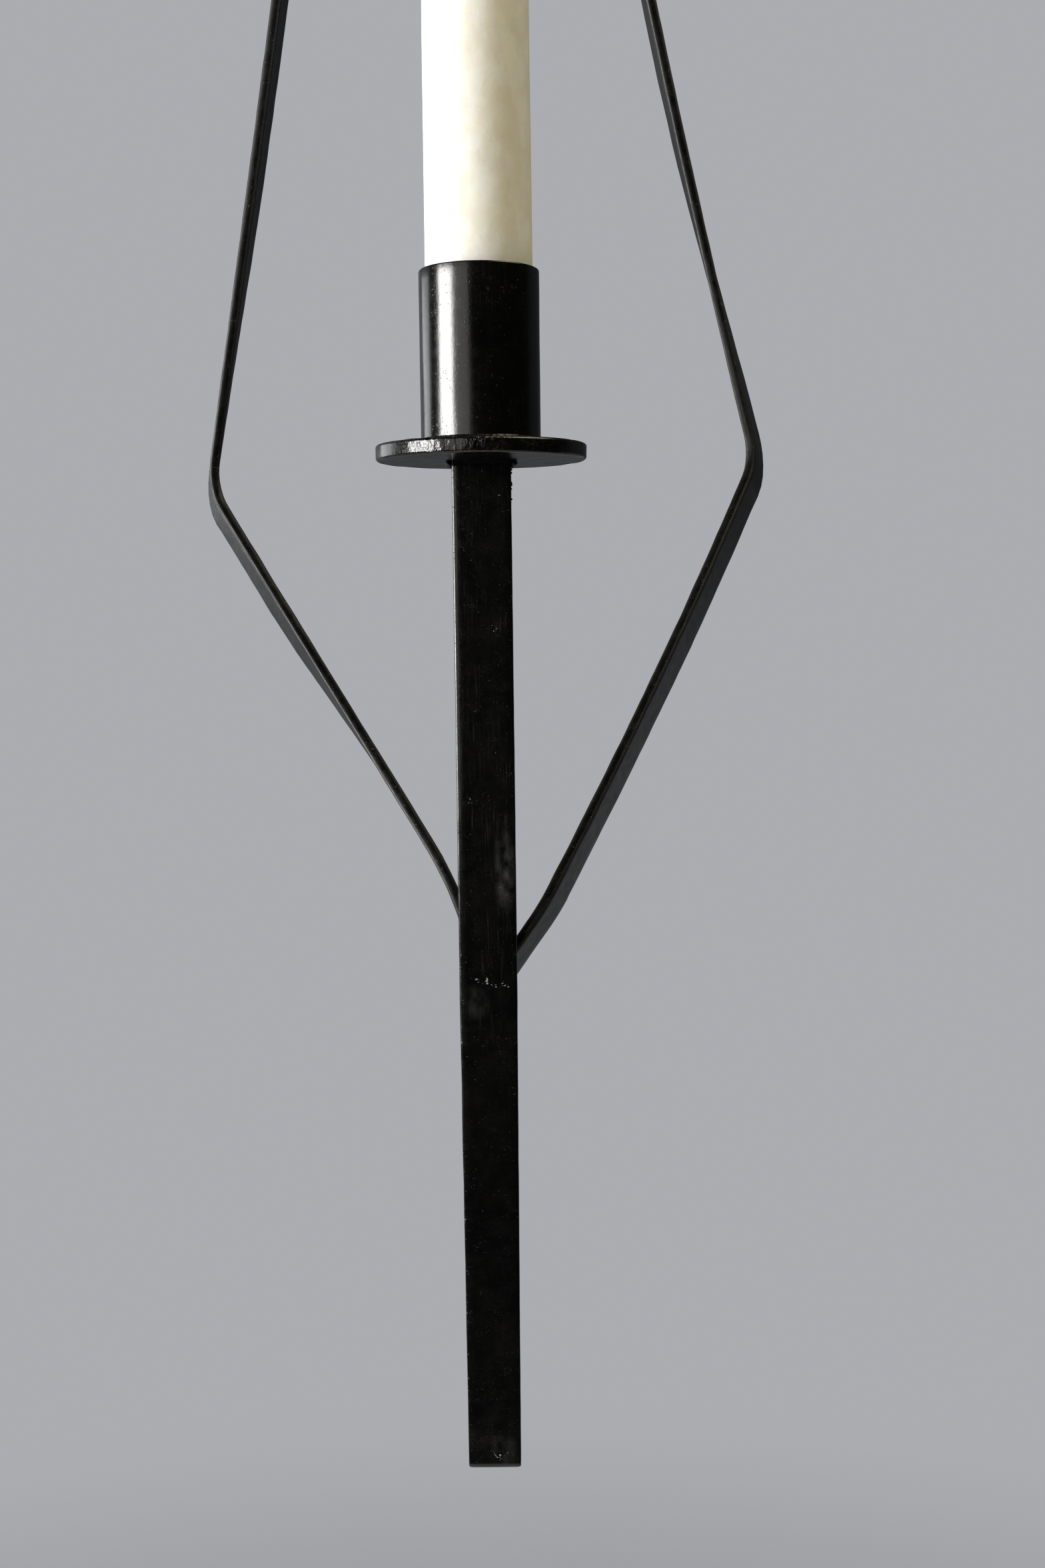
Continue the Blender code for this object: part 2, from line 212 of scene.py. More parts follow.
def quarter_arc(centre, radius, start, steps=5):
    """Points of a quarter circle that turns to the left, as (radius, height) pairs."""
    angles = [start + math.pi / 2 * i / steps for i in range(steps + 1)]
    return [(centre[0] + radius * math.cos(a), centre[1] + radius * math.sin(a)) for a in angles]


def spaced(start, end, spacing):
    """Points after start and up to end on the straight line between two (radius, height) pairs."""
    count = max(1, round(math.dist(start, end) / spacing))
    return [
        (start[0] + (end[0] - start[0]) * i / count, start[1] + (end[1] - start[1]) * i / count)
        for i in range(1, count + 1)
    ]


def cad_copy(node, spacing):
    """A CAD node's mesh as a bmesh of quads whose edges are no longer than the spacing."""
    bm = bmesh.new()
    bm.from_mesh(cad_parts[node].data)
    bmesh.ops.remove_doubles(bm, verts=bm.verts, dist=SAME_POINT)
    bmesh.ops.join_triangles(
        bm, faces=bm.faces, angle_face_threshold=FLAT_PAIR, angle_shape_threshold=SQUARE_PAIR
    )
    while True:
        long_edges = [edge for edge in bm.edges if edge.calc_length() > spacing]
        if not long_edges:
            return bm
        bmesh.ops.subdivide_edges(bm, edges=long_edges, cuts=1, use_grid_fill=True)


def roughen(bm, amount, size, seed):
    """Pushes the surface in and out by a smooth random amount, with lumps of the given size."""
    bm.normal_update()
    shift = Vector((seed * 7.31, seed * 3.17, seed * 5.73))
    moves = []
    for vert in bm.verts:
        lump = noise.fractal(vert.co / size + shift, 0.7, 2.0, 3)
        moves.append(vert.normal * lump * amount)
    for vert, move in zip(bm.verts, moves):
        vert.co += move


def mark_edges(bm, full_angle=OUTER_EDGE):
    """Writes how much of an outer edge each point lies on, from 0 to 1, into the attribute "edge"."""
    layer = bm.verts.layers.float.new("edge")
    for vert in bm.verts:
        bends = [edge.calc_face_angle_signed(0.0) for edge in vert.link_edges]
        vert[layer] = min(1.0, max(0.0, max(bends, default=0.0)) / full_angle)


def mark_spots(bm, name, spots):
    """Writes into a named attribute where spots lie, for the lacquer to show damage, crumbs and painted
    highlights there.

    Each spot is a centre, how far it reaches along x, y and z, and its share from 0 to 1.
    """
    layer = bm.verts.layers.float.new(name)
    for vert in bm.verts:
        share = 0.0
        for centre, reach, amount in spots:
            away = [(vert.co[k] - centre[k]) / reach[k] for k in range(3)]
            near = 1.0 - math.sqrt(sum(a * a for a in away))
            share = max(share, amount * min(1.0, max(0.0, near * 2)))
        vert[layer] = share


# ---------------------------------------------------------------- materials

class Nodes:
    """A node tree with short names for the nodes that the looks here are made of."""

    def __init__(self, tree):
        self.tree = tree

    def feed(self, node, name, value):
        socket = node.inputs[name]
        if isinstance(value, bpy.types.NodeSocket):
            self.tree.links.new(value, socket)
        else:
            socket.default_value = value

    def between(self, value, low, high, out_low=0.0, out_high=1.0):
        """Maps low..high to out_low..out_high along a smooth step."""
        node = self.tree.nodes.new("ShaderNodeMapRange")
        node.interpolation_type = "SMOOTHSTEP"
        self.feed(node, "Value", value)
        self.feed(node, "From Min", low)
        self.feed(node, "From Max", high)
        self.feed(node, "To Min", out_low)
        self.feed(node, "To Max", out_high)
        return node.outputs["Result"]

    def blend(self, factor, first, second):
        """Goes from the first colour to the second as the factor goes from 0 to 1."""
        node = self.tree.nodes.new("ShaderNodeMix")
        node.data_type = "RGBA"
        self.feed(node, 0, factor)
        for index, color in ((6, first), (7, second)):
            value = color if isinstance(color, bpy.types.NodeSocket) else (*color, 1.0)
            self.feed(node, index, value)
        return node.outputs[2]

    def split(self, vector):
        """The X, Y and Z of a vector."""
        node = self.tree.nodes.new("ShaderNodeSeparateXYZ")
        self.tree.links.new(vector, node.inputs[0])
        return node.outputs


class Surface(Nodes):
    """A material whose patterns lie in the frame's own metres. Noise, patches and cells take a size."""

    def __init__(self, name):
        self.material = bpy.data.materials.new(name)
        self.material.use_nodes = True
        super().__init__(self.material.node_tree)
        self.shader = self.tree.nodes["Principled BSDF"]
        self.place = self.tree.nodes.new("ShaderNodeTexCoord").outputs["Object"]

    def set(self, **values):
        for name, value in values.items():
            self.shader.inputs[name.replace("_", " ")].default_value = value

    def put(self, name, source):
        self.tree.links.new(source, self.shader.inputs[name])

    def stretched(self, stretch):
        node = self.tree.nodes.new("ShaderNodeMapping")
        node.inputs["Scale"].default_value = stretch
        self.tree.links.new(self.place, node.inputs["Vector"])
        return node.outputs["Vector"]

    def noise(self, size, detail=3.0, stretch=None, roughness=0.55):
        node = self.tree.nodes.new("ShaderNodeTexNoise")
        self.feed(node, "Vector", self.stretched(stretch) if stretch else self.place)
        self.feed(node, "Scale", 1.0 / size)
        self.feed(node, "Detail", detail)
        self.feed(node, "Roughness", roughness)
        return node.outputs["Fac"]

    def patches(self, size, low, high, detail=3.0, stretch=None, roughness=0.55):
        """Soft patches: 0 where noise of this size is below low, and 1 where it is above high."""
        return self.between(self.noise(size, detail, stretch, roughness), low, high)

    def cells(self, size, feature="F1"):
        node = self.tree.nodes.new("ShaderNodeTexVoronoi")
        node.feature = feature
        self.feed(node, "Vector", self.place)
        self.feed(node, "Scale", 1.0 / size)
        return node.outputs["Distance"]

    def attribute(self, name):
        node = self.tree.nodes.new("ShaderNodeAttribute")
        node.attribute_name = name
        return node.outputs["Fac"]

    def math(self, operation, first, second=0.0):
        node = self.tree.nodes.new("ShaderNodeMath")
        node.operation = operation
        self.feed(node, 0, first)
        self.feed(node, 1, second)
        return node.outputs["Value"]

    def both(self, first, second):
        return self.math("MULTIPLY", first, second)

    def either(self, first, second):
        return self.math("MAXIMUM", first, second)

    def bump(self, height, distance, strength=1.0, below=None):
        node = self.tree.nodes.new("ShaderNodeBump")
        self.feed(node, "Height", height)
        self.feed(node, "Distance", distance)
        self.feed(node, "Strength", strength)
        if below is not None:
            self.feed(node, "Normal", below)
        return node.outputs["Normal"]

    def height(self, low, high):
        """0 below the low height and 1 above the high one, both in the frame's metres."""
        return self.between(self.split(self.place)["Z"], low, high)


def lacquer_coats(s, drawn, film, streaks, dust, streaks_above):
    """Colour of the sound lacquer: its clouds, the bar's streaks, faded patches and a film of dust."""
    color = s.blend(s.patches(9 * MM, 0.38, 0.68, 4.0), COAT_BLACK, FADED_BLACK)
    if streaks:
        lit = s.both(s.between(drawn, 0.54, 0.72), s.patches(8 * MM, 0.45, 0.65))
        if streaks_above:
            lit = s.both(lit, s.height(*streaks_above))
        color = s.blend(s.both(lit, streaks), color, STREAK_GREY)
    faded = s.both(s.attribute("faded"), s.patches(2.0 * MM, 0.30, 0.72, stretch=(1.0, 1.0, 0.5)))
    color = s.blend(faded, color, WORN_GREY)
    return s.blend(s.both(film, dust), color, DUST_GREY)


def rust_specks(s, rust):
    return s.both(s.both(s.patches(0.7 * MM, 0.655, 0.70), s.patches(6 * MM, 0.48, 0.60)), rust)


def rubbed_and_highlit_edges(s, edge, wear):
    """Iron laid bare along the edges, here and there, and a painted highlight in bare iron's grey, partly
    polish, wherever the edge highlight is marked.
    """
    scuffs = s.noise(0.9 * MM, 4.0, roughness=0.7)
    iron_grey_mask = s.both(s.between(edge, 0.35, 0.95), s.between(scuffs, 0.63 - 0.10 * wear, 0.68))
    iron_grey_mask = s.both(iron_grey_mask, s.patches(14 * MM, 0.42, 0.62, 2.0))
    polish_and_highlight = s.between(s.attribute("polish_and_highlight"), 0.55, 0.95)
    polish_and_highlight = s.both(polish_and_highlight, s.between(scuffs, 0.44, 0.66, 0.05, 0.45))
    return s.either(s.both(iron_grey_mask, wear), polish_and_highlight)


def paint_chips(s, chips):
    """Chips down to the primer, in scattered groups and wherever "chipped" is marked."""
    chip = s.patches(0.45 * MM, 0.70 - 0.03 * chips, 0.73, roughness=0.65)
    chip = s.both(chip, s.patches(11 * MM, 0.55, 0.64, 1.0))
    flakes = s.math("ADD", s.noise(0.55 * MM, 2.0, roughness=0.6), s.both(s.attribute("chipped"), 0.16))
    return s.either(s.both(chip, chips), s.between(flakes, 0.765, 0.815))


def lacquer_relief(s, drawn, damage, streaks, grit):
    """Peel, grit, fine scratches, dust nibs, the bar's drawn lines, crumbs of weld and sunken damage."""
    relief = s.bump(s.noise(3.0 * MM, 2.0), 0.030 * MM, 0.6)
    relief = s.bump(s.noise(0.42 * MM, 4.0, roughness=0.65), grit * MM, 0.9, relief)
    scratch = s.patches(0.14 * MM, 0.68, 0.76, 1.0, stretch=(0.012, 0.012, 1.0))
    scratch = s.both(scratch, s.patches(7 * MM, 0.52, 0.62, 1.0))
    relief = s.bump(scratch, 0.007 * MM, 0.6, relief)
    nibs = s.both(s.between(s.cells(0.75 * MM), 0.20, 0.04), s.patches(3 * MM, 0.44, 0.56))
    relief = s.bump(nibs, 0.04 * MM, 0.9, relief)
    if streaks:
        relief = s.bump(drawn, 0.03 * MM, streaks, relief)
    crumbs = s.noise(1.2 * MM, 3.0, stretch=(1.0, 1.0, 0.5), roughness=0.55)
    relief = s.bump(s.both(s.attribute("crumbled"), crumbs), 0.60 * MM, 1.0, relief)
    return s.bump(s.math("SUBTRACT", 1.0, damage), 0.06 * MM, 0.9, relief)


def black_lacquer(
    name, roughness, wear, chips, rust, dust, streaks=0.0, grit=0.012, coat=0.25, dull_edges=0.0,
    streaks_above=None,
):
    """Black lacquer on iron. The shares from 0 to 1 say how much of each trace of age shows.

    Roughness is the clean lacquer's. Grit is the height in millimetres of the fine grain under it. Dull
    edges are this much rougher than the faces. The streaks can fade out below a pair of heights.
    """
    s = Surface(name)
    drawn = s.noise(0.35 * MM, 3.0, stretch=(1.0, 1.0, 0.035))
    film = s.both(s.patches(3.5 * MM, 0.42, 0.75, 5.0), s.patches(0.5 * MM, 0.35, 0.7, 2.0))
    edge = s.attribute("edge")
    rusty = rust_specks(s, rust)
    iron_grey_mask = rubbed_and_highlit_edges(s, edge, wear)
    chip = paint_chips(s, chips)

    color = lacquer_coats(s, drawn, film, streaks, dust, streaks_above)
    color = s.blend(rusty, color, RUST_BROWN)
    # bare iron's grey on rubbed edges, and as a painted highlight along the marked edge line
    color = s.blend(iron_grey_mask, color, BARE_IRON_AND_HIGHLIGHT)
    s.put("Base Color", s.blend(chip, color, PRIMER_GREY))

    damage = s.either(s.either(rusty, iron_grey_mask), chip)
    grain = s.between(s.noise(2.2 * MM, 4.0), 0.3, 0.75, roughness * 0.85, roughness * 1.30)
    wet = s.both(s.attribute("crumbled"), roughness * 0.4)
    dull = s.math("SUBTRACT", s.math("ADD", grain, s.both(film, 0.22 * dust)), wet)
    dull = s.math("ADD", dull, s.both(s.between(edge, 0.35, 0.90), dull_edges))
    s.put("Roughness", s.math("ADD", dull, s.both(damage, 0.22)))
    s.put("Normal", lacquer_relief(s, drawn, damage, streaks, grit))
    s.set(Metallic=0.0, Specular_IOR_Level=0.5, Coat_Weight=coat, Coat_Roughness=0.12)
    return s.material


def candle_wax():
    """Ivory wax: pale clouds, deeper veins, faint folds in the skin, and light that goes into it."""
    s = Surface("ivory_wax")
    clouds = s.patches(4.0 * MM, 0.42, 0.58, 6.0, stretch=(1.0, 1.0, 0.6), roughness=0.62)
    veins = s.between(s.cells(3.2 * MM, "SMOOTH_F1"), 0.30, 0.75)
    color = s.blend(clouds, IVORY_WAX, PALE_WAX)
    s.put("Base Color", s.blend(s.both(veins, 0.28), color, DEEP_WAX))
    s.put("Roughness", s.between(s.noise(1.4 * MM, 3.0), 0.3, 0.7, 0.38, 0.54))
    fold = s.math("ABSOLUTE", s.math("SUBTRACT", s.noise(5.0 * MM, 3.0, roughness=0.55), 0.5))
    fold = s.both(s.between(fold, 0.0, 0.07, 1.0, 0.0), s.patches(4 * MM, 0.42, 0.62, 1.0))
    skin = s.bump(s.noise(5 * MM, 2.0), 0.10 * MM, 0.5)
    skin = s.bump(fold, 0.06 * MM, 0.6, skin)
    s.put("Normal", s.bump(s.noise(0.6 * MM, 3.0), 0.02 * MM, 0.6, skin))
    s.set(Subsurface_Weight=0.78, Subsurface_Scale=8 * MM, IOR=1.44)
    s.set(Subsurface_Radius=(1.0, 0.86, 0.48))
    return s.material


def wick_cotton():
    s = Surface("waxed_cotton")
    fibres = s.noise(0.12 * MM, 3.0, stretch=(1.0, 1.0, 0.25))
    s.put("Base Color", s.blend(s.between(fibres, 0.3, 0.7), COTTON_SHADE, COTTON_LIGHT))
    s.put("Roughness", s.between(fibres, 0.2, 0.8, 0.60, 0.90))
    s.put("Normal", s.bump(fibres, 0.05 * MM, 0.9))
    s.set(Sheen_Weight=0.25)
    return s.material


# ---------------------------------------------------------------- ironwork

def build_strips():
    for number, side in enumerate(("left", "right")):
        node = f"{side}_frame_strip"
        bm = cad_copy(node, STRIP_SPACING)
        roughen(bm, STRIP_UNEVEN, size=9 * MM, seed=number + 1)
        mark_edges(bm)
        paint = black_lacquer(
            f"{side}_strip_lacquer", roughness=0.29, wear=0.22, chips=0.4, rust=0.5, dust=0.15, coat=0.06,
            dull_edges=0.26,
        )
        finished(bm, f"{side}_strip", "sconce", [node], paint)


def build_stem():
    disc_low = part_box("drip_disc")[0]
    low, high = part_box("stem_bar")
    bm = cad_copy("stem_bar", STEM_SPACING)
    for vert in bm.verts:
        if vert.co.z > high.z - 0.05 * MM:
            vert.co.z = disc_low.z + STEM_INTO_DISC
    roughen(bm, STEM_UNEVEN, size=12 * MM, seed=3)
    mark_edges(bm)
    middle = (low.x + high.x) / 2
    joint_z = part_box("left_strip_weld")[1].z + CHIPS_ABOVE_WELD

    def front(x, z, wide, tall, amount):
        """A spot on the front face, x millimetres to the right of its middle and at a height in metres."""
        return Vector((middle + x * MM, low.y, z)), (wide * MM, 3 * MM, tall * MM), amount

    mark_spots(bm, "chipped", [
        front(-0.5, joint_z, 2.2, 1.9, 1.0),
        front(2.6, joint_z - 1.4 * MM, 3.4, 1.1, 0.9),
        front(-3.3, joint_z + 0.2 * MM, 1.2, 1.2, 0.9),
        front(1.2, low.z + 2.6 * MM, 3.0, 2.4, 0.8),
        front(2.2, high.z - 34 * MM, 2.0, 2.4, 0.7),
        front(-3.8, high.z - 69 * MM, 1.6, 2.6, 0.7),
    ])
    mark_spots(bm, "faded", [
        front(4.0, high.z - 84 * MM, 2.6, 9, 1.0),
        front(-3.0, joint_z - 5 * MM, 3.4, 4, 0.35),
        front(2.0, low.z + 4 * MM, 4.0, 4, 0.35),
    ])
    # a thin line along the stem's left front edge in bare iron's grey: partly polished paint, partly a
    # painted highlight where light catches the rounded corner
    worn_and_lit_edge = Vector((low.x, low.y, high.z - 35 * MM))
    mark_spots(bm, "polish_and_highlight", [(worn_and_lit_edge, (0.5 * MM, 0.5 * MM, 100 * MM), 0.9)])
    # the lighter streaks show only on the upper stem, so its face is lighter towards the top and darker
    # towards the bottom
    paint = black_lacquer(
        "stem_lacquer", roughness=0.20, streaks=0.6, wear=0.35, chips=0.35, rust=0.15, dust=0.06,
        streaks_above=(joint_z - 40 * MM, joint_z + 20 * MM),
    )
    finished(bm, "stem", "sconce", ["stem_bar"], paint)


def build_disc():
    low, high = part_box("drip_disc")
    centre = (low + high) / 2
    radius = (high.x - low.x) / 2
    flat = radius - DISC_EDGE
    profile = [(POLE_RADIUS, low.z)]
    profile += spaced(profile[-1], (flat, low.z), DISC_RING_SPACING)
    profile += quarter_arc((flat, low.z + DISC_EDGE), DISC_EDGE, -math.pi / 2)[1:]
    profile += quarter_arc((flat, high.z - DISC_EDGE), DISC_EDGE, 0.0)
    profile += spaced(profile[-1], (POLE_RADIUS, high.z), DISC_RING_SPACING)
    bm = bmesh.new()
    turned(bm, profile, centre, closed=False)
    mark_edges(bm, TURNED_EDGE)
    roughen(bm, DISC_UNEVEN, size=3.5 * MM, seed=5)

    def rim(x, y, z, reach, amount):
        """A spot near the front of the rim, in millimetres from the middle of its front."""
        middle = Vector((centre.x + x * MM, low.y + y * MM, centre.z + z * MM))
        return middle, tuple(length * MM for length in reach), amount

    mark_spots(bm, "crumbled", [
        rim(-10.5, 3, 0, (6, 6, 5), 0.9),
        rim(0.2, 0, 0.6, (3, 3, 2), 1.0),
        rim(-6, 2, 0, (18, 9, 6), 0.40),
    ])
    # primer-grey flakes across the rim's front, where the window's glints fall: partly chipped paint,
    # partly painted glints
    mark_spots(bm, "chipped", [rim(-4, 0, 0.6, (9, 4, 1.6), 0.5)])
    paint = black_lacquer(
        "disc_lacquer", roughness=0.19, wear=0.4, chips=0.4, rust=0.7, dust=0.45, grit=0.030
    )
    finished(bm, "disc", "sconce", ["drip_disc"], paint)


def build_cup():
    low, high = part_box("candle_cup")
    disc_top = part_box("drip_disc")[1].z
    centre = (low + high) / 2
    outer = (high.x - low.x) / 2
    inner = outer - CUP_WALL
    foot = disc_top - CUP_INTO_DISC
    lip = high.z - CUP_LIP
    profile = [(inner, foot), (outer, foot)]
    profile += spaced(profile[-1], (outer, lip), CUP_RING_SPACING)
    profile += quarter_arc((outer - CUP_LIP, lip), CUP_LIP, 0.0)[1:]
    profile += quarter_arc((inner + CUP_LIP, lip), CUP_LIP, math.pi / 2)
    profile += spaced(profile[-1], (inner, foot), CUP_RING_SPACING)[:-1]
    bm = bmesh.new()
    turned(bm, profile, centre, closed=True)
    mark_edges(bm, TURNED_EDGE)
    roughen(bm, CUP_UNEVEN, size=7 * MM, seed=6)
    paint = black_lacquer(
        "cup_lacquer", roughness=0.17, streaks=0.25, wear=0.35, chips=0.2, rust=0.25, dust=0.10, grit=0.022
    )
    finished(bm, "cup", "sconce", ["candle_cup"], paint)


def build_ring():
    """A wire ring, its welded seam at the bottom and its paint worn where it hangs on the hook."""
    low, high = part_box("hanging_ring")
    centre = (low + high) / 2
    wire = (high.y - low.y) / 2
    radius = (high.x - low.x) / 2 - wire
    swell_by, seam_width = RING_SEAM
    turns = [2 * math.pi * k / WIRE_SIDES for k in range(WIRE_SIDES)]
    rings = []
    for i in range(SEGMENTS):
        angle = 2 * math.pi * i / SEGMENTS
        outward = Vector((math.cos(angle), 0, math.sin(angle)))
        swell = 1 + swell_by * math.exp(-((angle - 1.5 * math.pi) / seam_width) ** 2)
        middle = centre + outward * radius
        rings.append([
            middle + (outward * math.cos(t) + Vector((0, math.sin(t), 0))) * wire * swell for t in turns
        ])
    bm = bmesh.new()
    loft(bm, rings, closed=True)
    roughen(bm, RING_UNEVEN, size=2.5 * MM, seed=7)
    mark_edges(bm)
    worn = Vector((centre.x, centre.y, high.z - 2 * wire))
    mark_spots(bm, "chipped", [(worn, (4 * MM, 4 * MM, 1.2 * MM), 0.5)])
    paint = black_lacquer("ring_lacquer", roughness=0.30, wear=0.4, chips=0.5, rust=0.6, dust=0.3)
    finished(bm, "ring", "sconce", ["hanging_ring"], paint)


def build_welds():
    beads = [
        "front_apex_weld", "back_apex_weld", "left_strip_weld", "right_strip_weld", "stem_weld", "cup_weld",
    ]
    for number, node in enumerate(beads):
        share = CUP_WELD_SHARE if node == "cup_weld" else 1.0
        bm = cad_copy(node, WELD_SPACING)
        bm.normal_update()
        moves = [vert.normal * (WELD_SPREAD * share) for vert in bm.verts]
        for vert, move in zip(bm.verts, moves):
            vert.co += move
        for _ in range(2):
            bmesh.ops.smooth_vert(
                bm, verts=bm.verts, factor=0.4, use_axis_x=True, use_axis_y=True, use_axis_z=True
            )
        roughen(bm, WELD_UNEVEN * share, size=0.9 * MM, seed=10 + number)
        mark_edges(bm)
        paint = black_lacquer(f"{node}_lacquer", roughness=0.30, wear=0.3, chips=0.4, rust=0.9, dust=0.4)
        finished(bm, f"{node}_bead", "sconce", [node], paint)


def build_spatter():
    """Small drops that the welding left under the disc and behind the stem, beside the strips' ends."""
    random.seed(11)
    stem_low, stem_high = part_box("stem_bar")
    weld_low, weld_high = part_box("right_strip_weld")
    bm = bmesh.new()
    spots = []
    for _ in range(7):
        drop = random.uniform(0.8, 8.0) * MM
        spots.append(Vector((stem_high.x, random.uniform(stem_low.y, stem_high.y), stem_high.z - drop)))
    for _ in range(8):
        x = random.uniform(stem_low.x + 1.5 * MM, stem_high.x - 1.5 * MM)
        spots.append(Vector((x, stem_high.y, random.uniform(weld_low.z - 4 * MM, weld_high.z + 4 * MM))))
    for spot in spots:
        size = random.uniform(0.10, 0.27) * MM
        stretch = Matrix.Diagonal((1.0, random.uniform(0.8, 1.2), random.uniform(0.9, 1.7), 1.0))
        made = bmesh.ops.create_icosphere(
            bm, subdivisions=2, radius=size, matrix=Matrix.Translation(spot) @ stretch
        )
        for vert in made["verts"]:
            vert.co += (vert.co - spot) * 0.3 * noise.noise(vert.co / (0.3 * MM))
    mark_edges(bm)
    paint = black_lacquer("spatter_lacquer", roughness=0.30, wear=0.2, chips=0.2, rust=0.8, dust=0.3)
    finished(bm, "weld_spatter", "sconce", [], paint)


# ---------------------------------------------------------------- candle

def build_candle():
    low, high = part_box("candle")
    centre = (low + high) / 2
    foot_radius = (high.x - low.x) / 2
    top_radius = foot_radius - CANDLE_TAPER
    shoulder = high.z - CANDLE_TIP_HEIGHT
    flat = foot_radius - CANDLE_FOOT_CHAMFER
    profile = [(POLE_RADIUS, low.z)]
    profile += spaced(profile[-1], (flat, low.z), CANDLE_FOOT_SPACING)
    profile += quarter_arc((flat, low.z + CANDLE_FOOT_CHAMFER), CANDLE_FOOT_CHAMFER, -math.pi / 2)[1:]
    profile += spaced(profile[-1], (top_radius, shoulder), CANDLE_RING_SPACING)
    fall = top_radius - CANDLE_TIP_RADIUS
    rise = CANDLE_TIP_HEIGHT - 0.8 * MM
    for i in range(1, CANDLE_TIP_STEPS + 1):
        s = i / CANDLE_TIP_STEPS
        profile.append((top_radius - fall * s ** 1.6, shoulder + rise * s ** 0.9))
    profile += [
        (CANDLE_TIP_RADIUS * 0.86, high.z - 0.25 * MM),
        (CANDLE_TIP_RADIUS * 0.66, high.z - 0.02 * MM),
        (CANDLE_TIP_RADIUS * 0.42, high.z - 0.35 * MM),
        (0.2 * MM, high.z - 0.9 * MM),
    ]
    bm = bmesh.new()
    turned(bm, profile, centre, closed=False)
    for vert in bm.verts:
        x, y, z = vert.co
        lump = noise.noise(
            Vector((x / CANDLE_LUMP_WIDTH, y / CANDLE_LUMP_WIDTH, z / CANDLE_LUMP_HEIGHT))
        )
        away = Vector((x - centre.x, y - centre.y, 0))
        if z > low.z + 2 * MM and away.length > 1 * MM:
            vert.co += away.normalized() * lump * CANDLE_LUMP
    finished(bm, "dinner_candle", "candle", ["candle"], candle_wax())


def build_wick():
    """Strands twisted together, upright in the wax and leaning a little above it."""
    low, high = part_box("wick")
    root = Vector(((low.x + high.x) / 2 - WICK_ROOT_OFFSET, (low.y + high.y) / 2, low.z))
    length = high.z - low.z - 0.3 * MM
    angles = [2 * math.pi * k / WICK_SIDES for k in range(WICK_SIDES)]
    bm = bmesh.new()
    for strand in range(WICK_STRANDS):
        rings = []
        for i in range(WICK_STEPS + 1):
            s = i / WICK_STEPS
            turn = 2 * math.pi * (length * s / WICK_PITCH + strand / WICK_STRANDS)
            lean = WICK_LEAN * max(0.0, s - 0.5) ** 2 * 4
            middle = root + Vector((lean, 0, length * s - strand * 0.15 * MM * s))
            middle += Vector((math.cos(turn), math.sin(turn), 0)) * WICK_STRAND * 0.72
            radius = WICK_STRAND * (1.0 - 0.45 * max(0.0, s - 0.94) / 0.06)
            rings.append([
                middle + Vector((math.cos(a), math.sin(a), -0.45 * math.sin(a - turn))) * radius
                for a in angles
            ])
        loft(bm, rings)
    finished(bm, "twisted_wick", "candle", ["wick"], wick_cotton())


# ---------------------------------------------------------------- stage

def soft_light(name, bearing, distance, height, size, power, color):
    """A soft box that faces the disc and stands where the LIGHTS table says."""
    target = (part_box("drip_disc")[0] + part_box("drip_disc")[1]) / 2
    angle = math.radians(bearing)
    data = bpy.data.lights.new(name, "AREA")
    data.shape = "RECTANGLE"
    data.size, data.size_y = size
    data.energy = power
    data.color = color
    light = bpy.data.objects.new(name, data)
    light.location = target + Vector((-math.sin(angle) * distance, -math.cos(angle) * distance, height))
    light.rotation_euler = (target - light.location).to_track_quat("-Z", "Y").to_euler()
    light.visible_camera = False
    bpy.context.scene.collection.objects.link(light)


def build_floor():
    bm = bmesh.new()
    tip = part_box("stem_bar")[0]
    low = Matrix.Translation((0, 0, tip.z - FLOOR_DROP))
    bmesh.ops.create_circle(bm, cap_ends=True, radius=FLOOR_RADIUS, segments=SEGMENTS, matrix=low)
    mesh = bpy.data.meshes.new("floor")
    bm.to_mesh(mesh)
    bm.free()
    s = Surface("pale_floor")
    s.put("Base Color", s.blend(s.noise(FLOOR_CLOUD, 3.0), FLOOR_SHADE, FLOOR_LIGHT))
    s.put("Roughness", s.between(s.noise(FLOOR_GRAIN), 0.3, 0.7, 0.75, 0.9))
    flat = s.stretched((1.0, 1.0, 0.0))
    length = s.tree.nodes.new("ShaderNodeVectorMath")
    length.operation = "LENGTH"
    s.tree.links.new(flat, length.inputs[0])
    s.put("Alpha", s.between(length.outputs["Value"], *FLOOR_FADE, 1.0, 0.0))
    mesh.materials.append(s.material)
    floor = bpy.data.objects.new("floor", mesh)
    bpy.context.scene.collection.objects.link(floor)


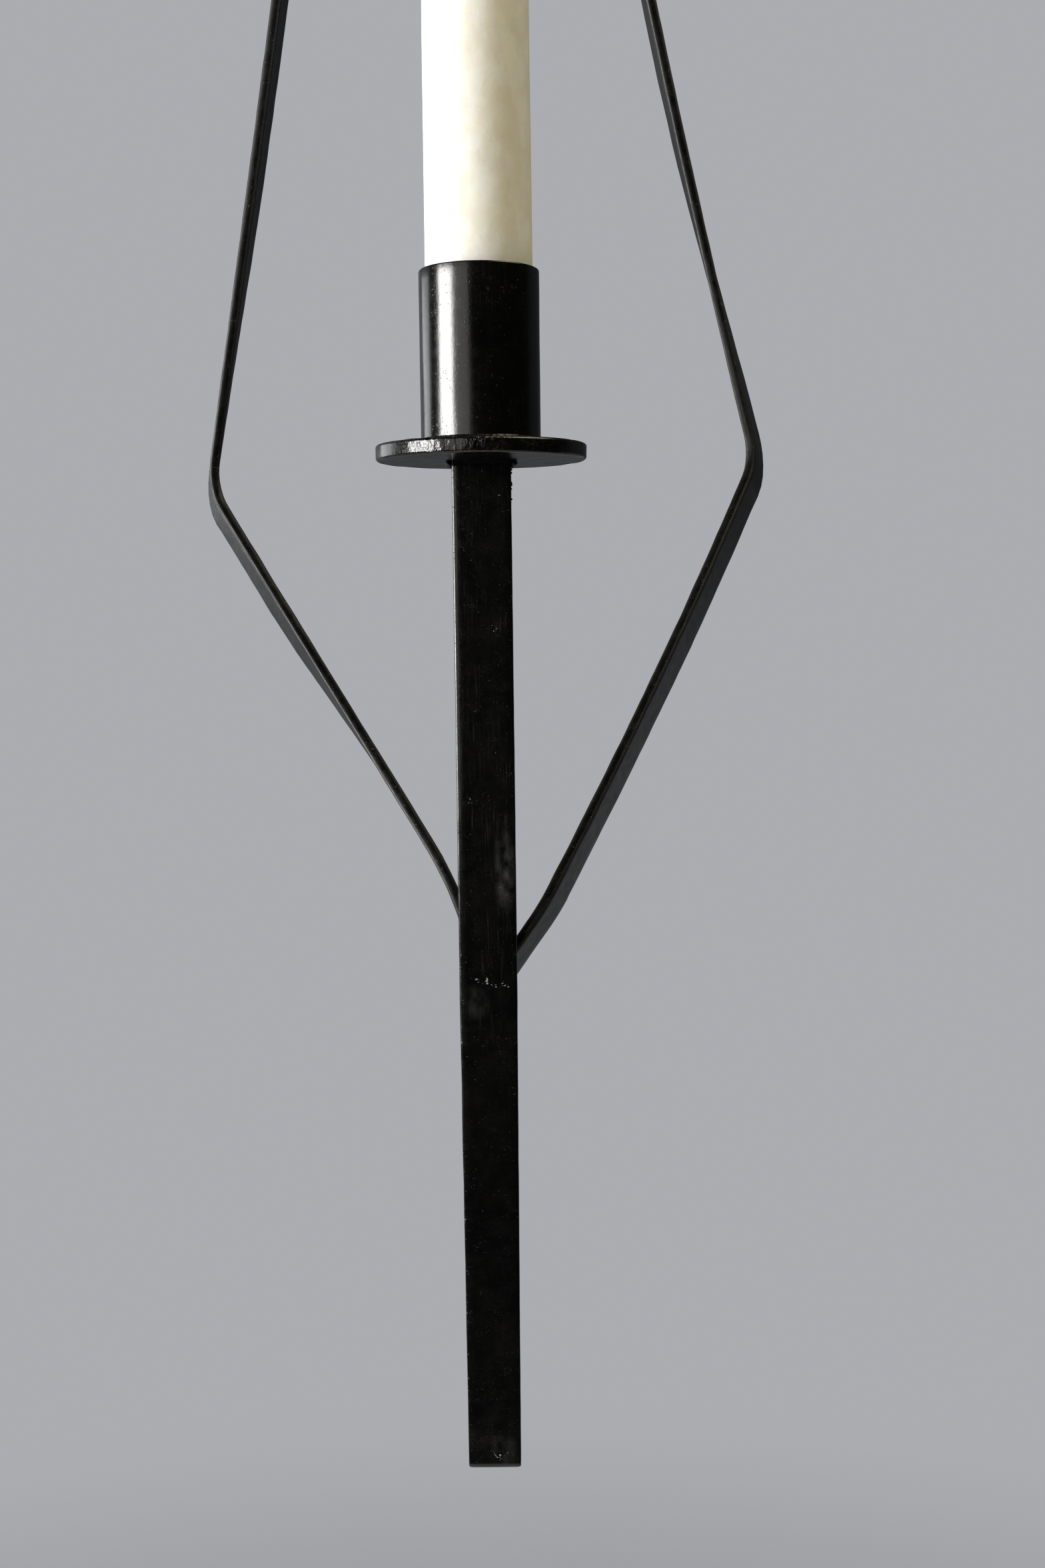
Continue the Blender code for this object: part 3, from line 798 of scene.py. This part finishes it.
def build_world():
    """The background is the wall's grey. Light and reflections get the wall and a dark room in front."""
    world = bpy.data.worlds.new("soft_room")
    world.use_nodes = True
    nodes = Nodes(world.node_tree)
    background = nodes.tree.nodes["Background"]
    toward = nodes.split(nodes.tree.nodes.new("ShaderNodeTexCoord").outputs["Generated"])
    wall = nodes.blend(nodes.between(toward["X"], *WINDOW_TO_SHADE), WALL_BY_WINDOW, WALL_IN_SHADE)
    wall = nodes.blend(nodes.between(toward["Z"], *BELOW_TO_WALL), WALL_BELOW, wall)
    room = nodes.blend(nodes.between(toward["Y"], *ROOM_TO_WALL), ROOM_GREY, wall)
    seen = nodes.tree.nodes.new("ShaderNodeLightPath").outputs["Is Camera Ray"]
    nodes.tree.links.new(nodes.blend(seen, room, WALL_GREY), background.inputs["Color"])
    bpy.context.scene.world = world


def build_camera():
    disc_low, disc_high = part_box("drip_disc")
    disc_foot = Vector(((disc_low.x + disc_high.x) / 2, (disc_low.y + disc_high.y) / 2, disc_low.z))
    forward = Vector((
        -math.sin(CAMERA_YAW) * math.cos(CAMERA_PITCH),
        math.cos(CAMERA_YAW) * math.cos(CAMERA_PITCH),
        -math.sin(CAMERA_PITCH),
    ))
    level = Vector((math.cos(CAMERA_YAW), math.sin(CAMERA_YAW), 0))
    above = level.cross(forward)
    right = level * math.cos(CAMERA_ROLL) + above * math.sin(CAMERA_ROLL)
    up = above * math.cos(CAMERA_ROLL) - level * math.sin(CAMERA_ROLL)
    turn = Matrix((right, up, -forward)).transposed()
    data = bpy.data.cameras.new("camera")
    data.lens = CAMERA_LENS_MM
    data.clip_start = CAMERA_NEAR
    camera = bpy.data.objects.new("camera", data)
    camera.matrix_world = Matrix.Translation(disc_foot + CAMERA_FROM_DISC) @ turn.to_4x4()
    bpy.context.scene.collection.objects.link(camera)
    bpy.context.scene.camera = camera


def main():
    bpy.context.scene.view_settings.view_transform = "Standard"
    build_strips()
    build_stem()
    build_disc()
    build_cup()
    build_ring()
    build_welds()
    build_spatter()
    build_candle()
    build_wick()
    build_world()
    build_floor()
    for name, settings in LIGHTS.items():
        soft_light(name, *settings)
    build_camera()


main()
